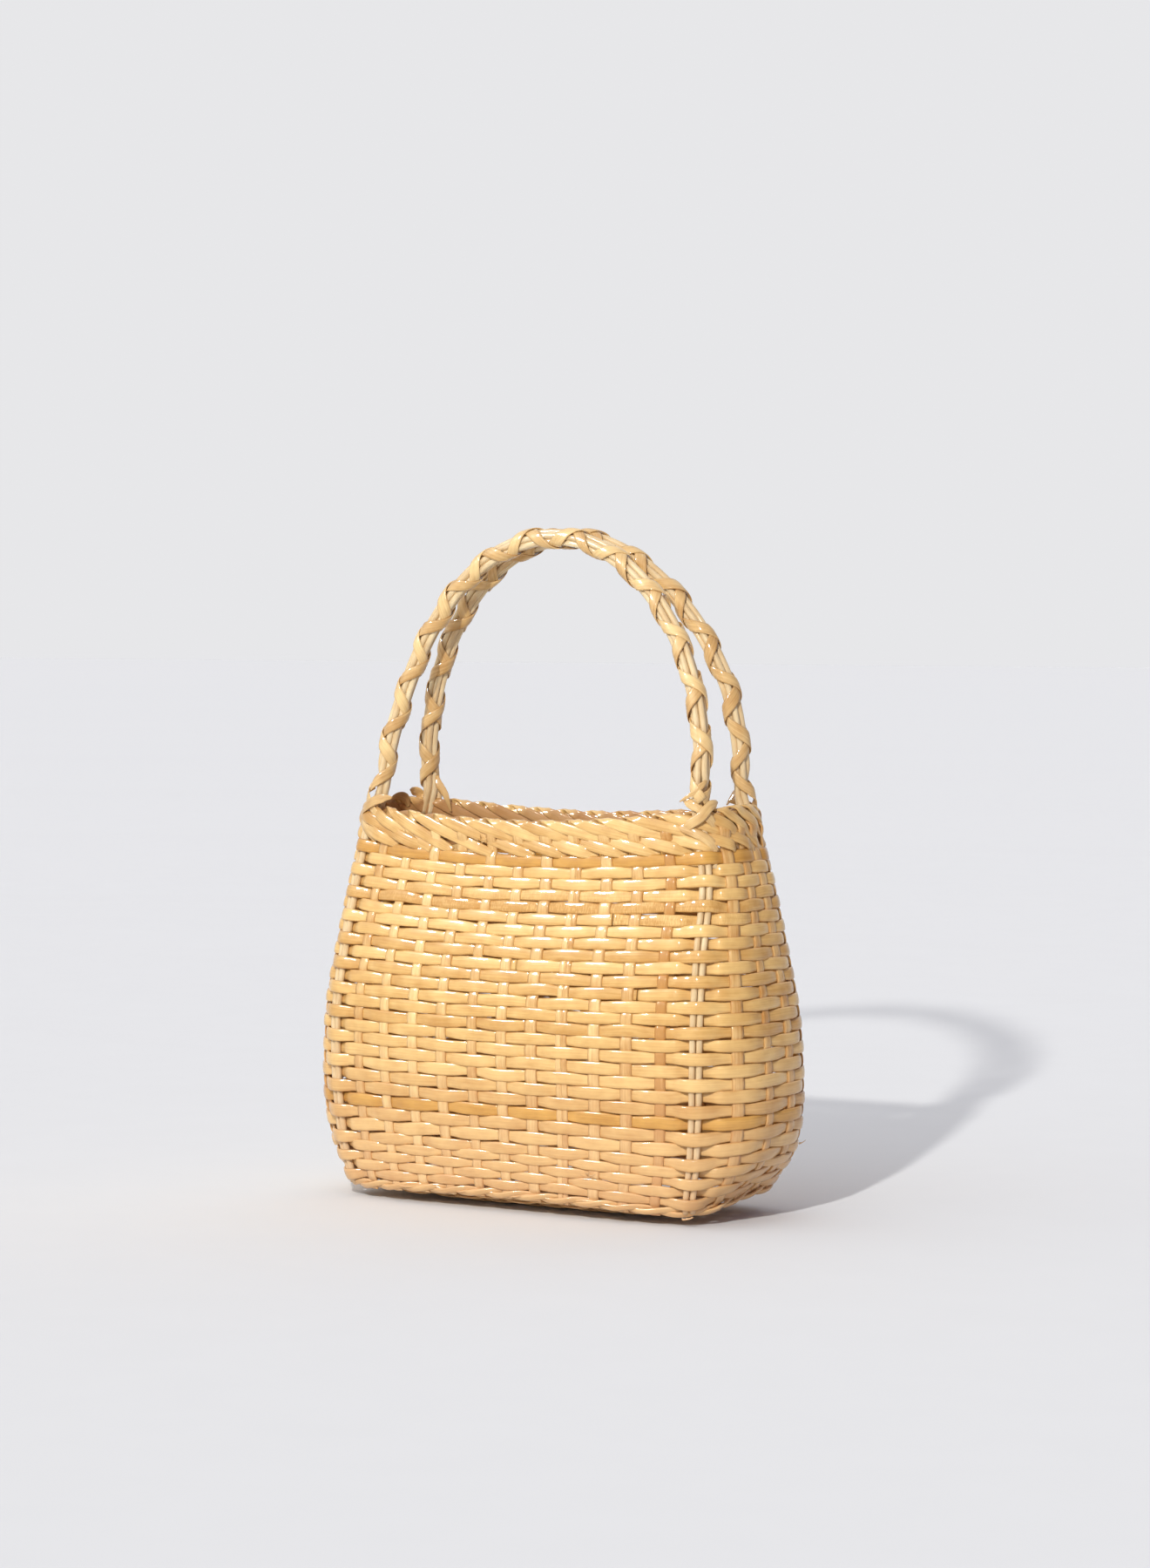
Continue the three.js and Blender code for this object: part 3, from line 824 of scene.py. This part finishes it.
def lashings(material):
    """The same three strips at each leg of the handles."""
    strands = Strands()
    for stake in CORNER_STAKES:
        for half_width, table in LASHINGS:
            centre, outward = near_surface(stake, table)
            width = half_width * taper(len(centre), [0, 0.25, 0.8, 1], [0.2, 1, 1, 0.5])
            strands.add(centre, outward, width, LASHING_HALF_THICKNESS, FLAT_PROFILE,
                        tone=random.normal(0, 0.2))
    strands.build("leg_lashings", material, "wrap_cane")


# Loose strips at the rim: stake they belong to, half width and rows of millimetres as near_surface
# takes them
LOOSE = (
    (RIGHT_FRONT, 1.2, ((4.6, 10.4, 3.2), (2.6, 8.8, 4.4), (0.2, 6.5, 4.8), (-2.4, 4.4, 4.2),
                        (-4.6, 2.6, 3.4))),
    (RIGHT_BACK, 1.7, ((5.0, 10.0, 4.2), (7.6, 7.6, 4.8), (9.6, 5.0, 4.4), (11.0, 2.4, 3.2),
                       (11.8, -0.4, 1.6))),
    (LEFT_BACK, 1.7, ((-2.4, 8.0, -2.2), (-3.6, 4.6, -4.2), (-5.6, 1.6, -4.6), (-7.6, -2.0, -4.6),
                      (-9.2, -6.2, -3.6))),
    (31.2, 2.2, ((-9.0, -5.0, -2.2), (-5.0, -1.6, -2.8), (-1.0, -0.6, -2.4), (2.6, -1.6, -1.6),
                 (4.0, -4.6, -2.4))),
)
LOOSE_HALF_THICKNESS = 0.25 * MM

# Frayed fibres: stake and height share of the root, and how far they lean sideways
FRAYS = ((8.9, 0.105, 1.0), (8.8, 0.11, 0.8), (8.95, 0.1, -0.7), (11.9, 0.02, 0.6), (11.8, 0.018, 1.0),
         (15.9, 0.16, 1.0), (4.6, 0.925, -0.6), (4.7, 0.92, 0.9), (4.65, 0.93, 0.3))
FRAY_POINTS = 10
FRAY_LENGTH = 4.5 * MM
FRAY_LIFT = 1.6 * MM
FRAY_HALF_THICKNESS = 0.12 * MM


def loose_ends(material):
    """Strip ends that stick out at the rim, and fine fibres that have come loose."""
    strands = Strands()
    for stake, half_width, table in LOOSE:
        centre, outward = near_surface(stake, table)
        width = half_width * taper(len(centre), [0, 0.3, 0.6, 1], [0.4, 1, 0.8, 0.2])
        strands.add(centre, outward, width, LOOSE_HALF_THICKNESS, FLAT_PROFILE, tone=0.1)
    step = np.linspace(0, 1, FRAY_POINTS)[:, None]
    for stake, share, lean in FRAYS:
        place, outward, sideways, upwards = surface(stake, share)
        bend = (sideways * lean + outward * 0.5) * step + upwards * 0.3 * step ** 2
        path = place + outward * FRAY_LIFT + bend * FRAY_LENGTH
        strands.add(path, np.tile(outward, (FRAY_POINTS, 1)), taper(FRAY_POINTS, [0, 1], [0.45, 0.1]),
                    FRAY_HALF_THICKNESS, FLAT_PROFILE, tone=0.2)
    strands.build("loose_ends", material, "wrap_cane")


# Base

# Rise of the base, as a share of the rise at its edge, against the share of the way out to the edge
BASE_RINGS = (0, 0.45, 0.75, 1.0, 1.1)
BASE_RISES = (0, 0, 0.4, 1, 1.3)
BASE_PITCH = 4.9 * MM
BASE_SHRINK = 0.965
BASE_SWING = 0.6 * MM
BASE_STAKE_SWING = 0.35 * MM
BASE_STAKE_HALF_WIDTH = 2.4 * MM
BASE_STRIP_HALF_THICKNESS = 0.55 * MM
BASE_STAKE_HALF_THICKNESS = 0.45 * MM
BASE_MIDDLE = 1.35 * MM
BASE_TONE_SPREAD = 0.25


def base_height(x, y, half_width, half_depth):
    """Height of the base: flat in the middle, rising to the foot of the wall."""
    across = np.abs(x / half_width) ** FOOT_POWER
    deep = np.abs(y / half_depth) ** FOOT_POWER
    ring = (across + deep) ** (1 / FOOT_POWER)
    rise = np.interp(ring, BASE_RINGS, BASE_RISES)
    corner = np.minimum(across, deep) / np.maximum(np.maximum(across, deep), 1e-6)
    arch = FOOT_ARCH * (1 - corner)
    behind = smooth((y / half_depth + 1) / 2)
    edge = BODY_HEIGHT * FOOT_SHARE + 0.9 * (BACK_LIFT * behind + arch)
    return rise * edge + BASE_MIDDLE


def edge_reach(offset, half_here, half_there):
    """Half length of a strip of the base at an offset from its middle."""
    return half_there * BASE_SHRINK * (1 - abs(offset / half_here) ** FOOT_POWER) ** (1 / FOOT_POWER)


def base_weave(material):
    """Strips along the base, woven over and under strips across it."""
    strands = Strands()
    half_width = BELLY_HALF_WIDTH * section_value(1, FOOT_SHARE)
    half_depth = BELLY_HALF_DEPTH * section_value(2, FOOT_SHARE)
    pitch = 2 * half_width / (FRONT_PITCHES + 1.5)
    rows = int(half_depth / BASE_PITCH)
    up = np.array([0, 0, 1.0])
    for row in range(-rows, rows + 1):
        y = row * BASE_PITCH
        reach = edge_reach(y, half_depth, half_width)
        x = np.linspace(-reach, reach, 150)
        depth = np.full(len(x), y)
        z = base_height(x, depth, half_width, half_depth)
        z = z + BASE_SWING * flatten(np.cos(math.pi * (x / pitch + row)))
        centre = np.stack([x, depth, z], axis=1)
        strands.add(centre, np.tile(up, (len(x), 1)), BASE_PITCH / 2 * 0.97, BASE_STRIP_HALF_THICKNESS,
                    THIN_PROFILE, tone=random.normal(0, BASE_TONE_SPREAD))
    columns = int(half_width * BASE_SHRINK / pitch)
    for column in range(-columns, columns + 1):
        x = column * pitch
        reach = edge_reach(x, half_width, half_depth)
        y = np.linspace(-reach, reach, 110)
        side = np.full(len(y), x)
        z = base_height(side, y, half_width, half_depth)
        z = z - BASE_STAKE_SWING * flatten(np.cos(math.pi * (column + y / BASE_PITCH)))
        centre = np.stack([side, y, z], axis=1)
        strands.add(centre, np.tile(up, (len(y), 1)), BASE_STAKE_HALF_WIDTH, BASE_STAKE_HALF_THICKNESS,
                    THIN_PROFILE, tone=random.normal(0, BASE_TONE_SPREAD))
    strands.build("base_weave", material, "cane", "basket_base")


# Materials

class NodeTree:
    """Short ways to add nodes to one node tree."""

    def __init__(self, tree):
        self.nodes = tree.nodes
        self.links = tree.links

    def put(self, socket, value):
        """Sets a socket to a constant, or links it to the output of another node."""
        if isinstance(value, bpy.types.NodeSocket):
            self.links.new(value, socket)
        else:
            socket.default_value = value

    def calc(self, operation, *values, clamp=False):
        node = self.nodes.new("ShaderNodeMath")
        node.operation = operation
        node.use_clamp = clamp
        for index, value in enumerate(values):
            self.put(node.inputs[index], value)
        return node.outputs[0]

    def noise(self, place, detail, rough=0.55):
        node = self.nodes.new("ShaderNodeTexNoise")
        node.inputs["Scale"].default_value = 1.0
        node.inputs["Detail"].default_value = detail
        node.inputs["Roughness"].default_value = rough
        self.put(node.inputs["Vector"], place)
        return node.outputs["Fac"]

    def mix(self, share, first, second):
        """Mixes two colours."""
        node = self.nodes.new("ShaderNodeMix")
        node.data_type = "RGBA"
        self.put(node.inputs[0], share)
        self.put(node.inputs[6], first)
        self.put(node.inputs[7], second)
        return node.outputs[2]

    def ramp(self, value, low, high):
        """Smooth step from 0 to 1 between two values."""
        node = self.nodes.new("ShaderNodeMapRange")
        node.interpolation_type = "SMOOTHSTEP"
        node.inputs["From Min"].default_value = low
        node.inputs["From Max"].default_value = high
        self.put(node.inputs["Value"], value)
        return node.outputs["Result"]

    def attribute(self, label):
        node = self.nodes.new("ShaderNodeAttribute")
        node.attribute_name = label
        return node.outputs["Fac"]

    def place(self, kind):
        return self.nodes.new("ShaderNodeTexCoord").outputs[kind]

    def axes(self, vector):
        """The X, Y and Z outputs of a vector."""
        node = self.nodes.new("ShaderNodeSeparateXYZ")
        self.put(node.inputs[0], vector)
        return node.outputs


# Colour that the cane leans to near the foot, up to a height in metres
LOW_CANE = (0.70, 0.42, 0.24, 1.0)
LOW_CANE_TOP = 1 / 13

# Painted shade on the inside of the border: the dark brown that stands in for the shade there, and the most
# of it that is mixed in
PAINTED_INNER_SHADE = (0.40, 0.19, 0.075, 1.0)
PAINTED_INNER_SHADE_SHARE = 0.75

# Variation in a strip for each metre along it and across it, and from one strip's tone to another
SEED_SPREAD = 37.0
FIBRE_SCALE = (50.0, 1700.0)
MOTTLE_SCALE = (110.0, 160.0)
HATCH_SCALE = (1900.0, 520.0)

# Shares of the dark colour that a strip's own tone, its fibres, its mottling and its hatching add
TONE_SHARE = 0.55
FIBRE_SHARE = 1.25
MOTTLE_SHARE = 1.3
HATCH_SHARE = 2.9
HATCH_OFFSET = -1.3

# Painted shade at the edges of a strip, standing in for the shade where strips meet: how far from its middle
# it is darkest, how narrow it is and how dark
EDGE_SHADE_PLACE = 2.7 * MM
EDGE_SHADE_POWER = 8.0
EDGE_SHADE_SHARE = 0.6

CANE_ROUGHNESS = 0.23
MOTTLE_ROUGHNESS = 0.3
BARE_ROUGHNESS = 0.35
VARNISH = 0.6
VARNISH_ROUGHNESS = 0.07
RELIEF = 0.12 * MM


def cane_material(name, light, dark, edge, bump=0.5, reddish=0.5):
    """Varnished cane: long fibres, broad mottling, painted shade at the edges of each strip, a rough patch
    where shade is above zero and painted shade where it is below zero.
    """
    material = bpy.data.materials.new(name)
    material.use_nodes = True
    tree = NodeTree(material.node_tree)
    calc = tree.calc
    shader = tree.nodes["Principled BSDF"]
    along, across = tree.attribute("along"), tree.attribute("across")
    tone, shade = tree.attribute("tone"), tree.attribute("shade")
    seed = calc("MULTIPLY", tone, SEED_SPREAD)

    def grain(scale, detail, rough=0.55):
        """Noise that is stretched along the strip, different for each strip."""
        node = tree.nodes.new("ShaderNodeCombineXYZ")
        tree.put(node.inputs[0], calc("MULTIPLY", along, scale[0]))
        tree.put(node.inputs[1], calc("MULTIPLY", across, scale[1]))
        tree.put(node.inputs[2], seed)
        return tree.noise(node.outputs[0], detail, rough)

    fibres = grain(FIBRE_SCALE, 4.0, 0.65)
    mottle = grain(MOTTLE_SCALE, 2.0)
    hatch = grain(HATCH_SCALE, 2.0)
    rough_share = calc("MAXIMUM", shade, 0.0)
    value = calc("MULTIPLY_ADD", tone, TONE_SHARE, 0.5)
    value = calc("ADD", value, calc("MULTIPLY_ADD", fibres, FIBRE_SHARE, -FIBRE_SHARE / 2))
    cracks = calc("MULTIPLY", calc("MULTIPLY_ADD", hatch, HATCH_SHARE, HATCH_OFFSET), rough_share)
    value = calc("ADD", value, cracks)
    value = calc("ADD", value, calc("MULTIPLY_ADD", mottle, MOTTLE_SHARE, -MOTTLE_SHARE / 2), clamp=True)
    colour = tree.mix(value, light + (1.0,), dark + (1.0,))
    height = tree.axes(tree.place("Object"))["Z"]
    low = calc("MULTIPLY_ADD", height, -reddish / LOW_CANE_TOP, reddish, clamp=True)
    colour = tree.mix(low, colour, LOW_CANE)
    # Painted shade on the inside of the border: strips darken to a brown where the shade attribute is below
    # zero
    inner = calc("MULTIPLY", calc("MINIMUM", shade, 0.0), -PAINTED_INNER_SHADE_SHARE)
    colour = tree.mix(inner, colour, PAINTED_INNER_SHADE)
    # Painted shade: each strip darkens to the edge colour towards its edges, where it meets its neighbours
    edge_shade_nearness = calc("MINIMUM", calc("DIVIDE", calc("ABSOLUTE", across), EDGE_SHADE_PLACE), 1.0)
    edge_shade_share = calc("MULTIPLY", calc("POWER", edge_shade_nearness, EDGE_SHADE_POWER), EDGE_SHADE_SHARE)
    colour = tree.mix(edge_shade_share, colour, edge + (1.0,))
    tree.put(shader.inputs["Base Color"], colour)
    gloss = calc("MULTIPLY_ADD", mottle, MOTTLE_ROUGHNESS, CANE_ROUGHNESS)
    gloss = calc("ADD", gloss, calc("MULTIPLY", calc("ABSOLUTE", shade), BARE_ROUGHNESS), clamp=True)
    tree.put(shader.inputs["Roughness"], gloss)
    shader.inputs["Specular IOR Level"].default_value = 0.12
    shader.inputs["Coat Weight"].default_value = VARNISH
    shader.inputs["Coat Roughness"].default_value = VARNISH_ROUGHNESS
    relief = tree.nodes.new("ShaderNodeBump")
    relief.inputs["Strength"].default_value = bump
    relief.inputs["Distance"].default_value = RELIEF
    tree.put(relief.inputs["Height"], calc("ADD", fibres, calc("MULTIPLY", hatch, rough_share)))
    tree.put(shader.inputs["Normal"], relief.outputs["Normal"])
    return material


# Light of the sky by itself, at the top and on the right
AMBIENT = (0.80, 0.80, 0.816, 1)
SKY_TOP = (1.12, 1.12, 1.14, 1)
SKY_RIGHT = (0.1, 0.09, 0.19, 1)

# The lamp that casts the shadow, and a larger one that only shines in the varnish
KEY_PLACE = Vector((0.303, -0.838, 0.554))
KEY_COLOUR = (1.0, 0.985, 0.96)
KEY_POWER = 29.0
KEY_RADIUS = 0.016
GLINT_PLACE = Vector((-0.72, -0.98, 0.98))
GLINT_POWER = 200.0
GLINT_RADIUS = 0.19

# The ground: its half length, the colour that it has in the picture and the sky's light on it
FLOOR_REACH = 14.0
GROUND = (0.799, 0.799, 0.816)
FLOOR_SKY = (0.721, 0.718, 0.752)
SPECK_SCALE = 900.0


def floor_material():
    """Pale ground, a little paler where less of the key light falls on it."""
    material = bpy.data.materials.new("pale_floor")
    material.use_nodes = True
    tree = NodeTree(material.node_tree)
    calc = tree.calc
    shader = tree.nodes["Principled BSDF"]
    reach = tree.nodes.new("ShaderNodeVectorMath")
    reach.operation = "DISTANCE"
    tree.put(reach.inputs[0], tree.place("Object"))
    tree.put(reach.inputs[1], KEY_PLACE)
    key = calc("DIVIDE", KEY_POWER / (4 * math.pi ** 2) * KEY_PLACE.z, reach.outputs["Value"])
    specks = tree.nodes.new("ShaderNodeTexNoise")
    specks.inputs["Scale"].default_value = SPECK_SCALE
    speck = calc("MULTIPLY_ADD", specks.outputs["Fac"], 0.02, 0.99)
    colour = tree.nodes.new("ShaderNodeCombineColor")
    for index, (ground, lamp, sky) in enumerate(zip(GROUND, KEY_COLOUR, FLOOR_SKY)):
        tint = calc("DIVIDE", ground, calc("MULTIPLY_ADD", key, lamp, sky))
        tree.put(colour.inputs[index], calc("MULTIPLY", tint, speck))
    tree.put(shader.inputs["Base Color"], colour.outputs[0])
    shader.inputs["Roughness"].default_value = 1.0
    shader.inputs["Specular IOR Level"].default_value = 0.0
    return material


# The bag

# The third colour of each cane is the painted shade at the edges of its strips
CANE = cane_material("cane", (0.87, 0.58, 0.22), (0.60, 0.315, 0.085), (0.46, 0.19, 0.045))
STAKE_CANE = cane_material("stake_cane", (0.91, 0.64, 0.28), (0.55, 0.265, 0.07), (0.44, 0.18, 0.04))
DARK_CANE = cane_material("dark_cane", (0.74, 0.41, 0.1), (0.5, 0.23, 0.045), (0.33, 0.13, 0.025),
                          reddish=0.1)
BORDER_CANE = cane_material("border_cane", (0.87, 0.59, 0.235), (0.58, 0.31, 0.09), (0.36, 0.14, 0.03))
ROD_CANE = cane_material("rod_cane", (0.88, 0.73, 0.45), (0.64, 0.42, 0.19), (0.45, 0.25, 0.09))
WRAP_CANE = cane_material("wrap_cane", (0.86, 0.61, 0.28), (0.52, 0.28, 0.09), (0.36, 0.15, 0.04), bump=0.8)

wall_weave(CANE)
wall_stakes(STAKE_CANE)
band("band_top", 0, DARK_CANE, "top_band")
band("band_low", LOWER_BAND_COURSE, DARK_CANE, "lower_band")
border_weave(BORDER_CANE)
base_weave(CANE)

for handle in HANDLES:
    make_handle(*handle)
lashings(WRAP_CANE)
loose_ends(WRAP_CANE)


# Floor, light and camera

def put_on_stage(name, data):
    """An object that belongs to the studio and not to the bag."""
    thing = bpy.data.objects.new(name, data)
    bpy.context.scene.collection.objects.link(thing)
    return thing


def make_floor():
    mesh = bpy.data.meshes.new("floor")
    corners = [(x * FLOOR_REACH, y * FLOOR_REACH, 0) for x, y in ((-1, -1), (1, -1), (1, 1), (-1, 1))]
    mesh.from_pydata(corners, [], [(0, 1, 2, 3)])
    mesh.materials.append(floor_material())
    put_on_stage("floor", mesh)


def make_sky():
    """Soft light from all round, brighter from above and dim from the right."""
    world = bpy.data.worlds.new("studio")
    world.use_nodes = True
    tree = NodeTree(world.node_tree)
    background = tree.nodes["Background"]
    background.inputs["Strength"].default_value = 1.0
    way = tree.axes(tree.place("Generated"))
    sky = tree.mix(tree.ramp(way["Z"], 0.3, 0.95), AMBIENT, SKY_TOP)
    sky = tree.mix(tree.ramp(way["X"], 0.0, 0.6), sky, SKY_RIGHT)
    tree.put(background.inputs["Color"], sky)
    bpy.context.scene.world = world


def make_key_light():
    """The lamp that casts the shadow, equally strong at every distance."""
    lamp = bpy.data.lights.new("key", "POINT")
    lamp.energy = 1.0
    lamp.shadow_soft_size = KEY_RADIUS
    lamp.use_nodes = True
    tree = NodeTree(lamp.node_tree)
    falloff = tree.nodes.new("ShaderNodeLightFalloff")
    falloff.inputs["Strength"].default_value = KEY_POWER
    emission = tree.nodes["Emission"]
    emission.inputs["Color"].default_value = KEY_COLOUR + (1,)
    tree.put(emission.inputs["Strength"], falloff.outputs["Constant"])
    put_on_stage("key", lamp).location = KEY_PLACE


def make_glint_light():
    """The lamp that only shines in the varnish."""
    lamp = bpy.data.lights.new("glint", "POINT")
    lamp.energy = GLINT_POWER
    lamp.shadow_soft_size = GLINT_RADIUS
    glint = put_on_stage("glint", lamp)
    glint.location = GLINT_PLACE
    glint.visible_diffuse = False


# The camera looks along a bearing to the left of the Y axis and a little down
CAMERA_PLACE = (0.9283, -1.3714, 0.2355)
CAMERA_BEARING = math.radians(33.87)
CAMERA_PITCH = math.radians(-2.386)
CAMERA_LENS = 96
CAMERA_SENSOR = 36
CAMERA_END = 60


def make_camera():
    """The camera at the viewing angle of the photo."""
    lens = bpy.data.cameras.new("photo_view")
    lens.lens = CAMERA_LENS
    lens.sensor_width = CAMERA_SENSOR
    lens.clip_end = CAMERA_END
    camera = bpy.data.objects.new("photo_view", lens)
    camera.location = CAMERA_PLACE
    level = math.cos(CAMERA_PITCH)
    ahead = Vector((
        -math.sin(CAMERA_BEARING) * level,
        math.cos(CAMERA_BEARING) * level,
        math.sin(CAMERA_PITCH),
    ))
    camera.rotation_euler = ahead.to_track_quat("-Z", "Y").to_euler()
    bpy.context.scene.collection.objects.link(camera)
    bpy.context.scene.camera = camera


make_floor()
make_sky()
make_key_light()
make_glint_light()
make_camera()
bpy.context.scene.view_settings.view_transform = "Standard"
